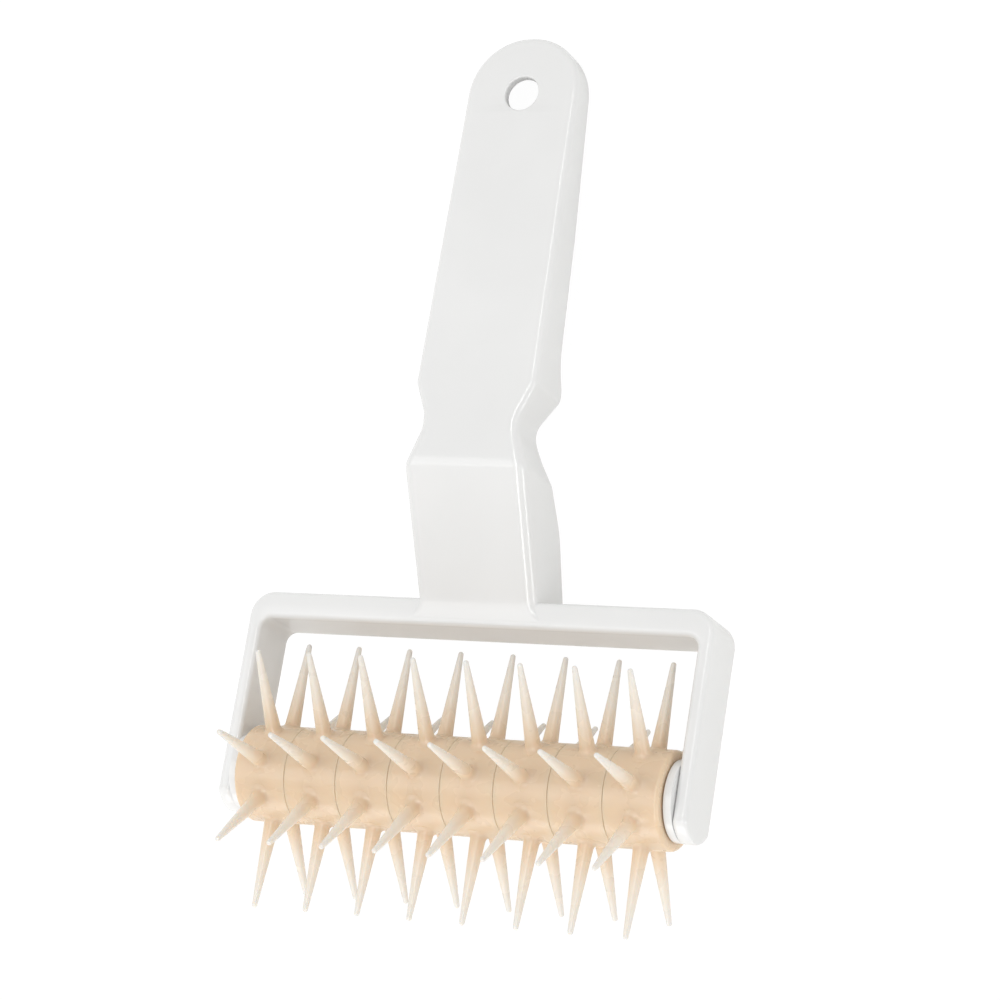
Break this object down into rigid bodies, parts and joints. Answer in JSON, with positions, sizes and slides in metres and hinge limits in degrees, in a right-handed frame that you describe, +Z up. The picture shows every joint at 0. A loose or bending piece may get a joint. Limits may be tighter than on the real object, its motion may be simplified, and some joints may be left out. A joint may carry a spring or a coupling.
{
  "type": "dough docker",
  "caption": "Hand tool with a free-turning roller of spiked discs held in a one-piece plastic yoke and flat handle with a hanging hole, for pricking rolled dough.",
  "frame": {"origin": "on the table, under the middle of the tool's outline as it lies on two rows of spikes and the handle's end", "axes": "+X along the roller's axle, +Y towards the handle's end, +Z up"},
  "size_m": [0.1328, 0.2288, 0.0676],
  "materials": {
    "white_plastic": "gloss moulded polypropylene",
    "beige_plastic": "satin moulded nylon, slightly translucent",
    "core_plastic": "plain moulded plastic",
    "steel": "drawn steel rod"
  },
  "bodies": {
    "yoke": {"handle_yoke": "white_plastic", "axle_rod": "steel"},
    "roller": {"core_tube": "core_plastic", "bush_left": "core_plastic", "bush_right": "core_plastic", "spike_disc_1": "beige_plastic", "spike_disc_2": "beige_plastic", "spike_disc_3": "beige_plastic", "spike_disc_4": "beige_plastic", "spike_disc_5": "beige_plastic", "spike_disc_6": "beige_plastic", "spike_disc_7": "beige_plastic", "spike_disc_8": "beige_plastic"}
  },
  "joints": [
    {"name": "roller_spin", "type": "hinge", "parent": "yoke", "child": "roller", "pos_m": [0, -0.08062, 0.03381], "axis": [1, 0, 0], "continuous": true}
  ]
}
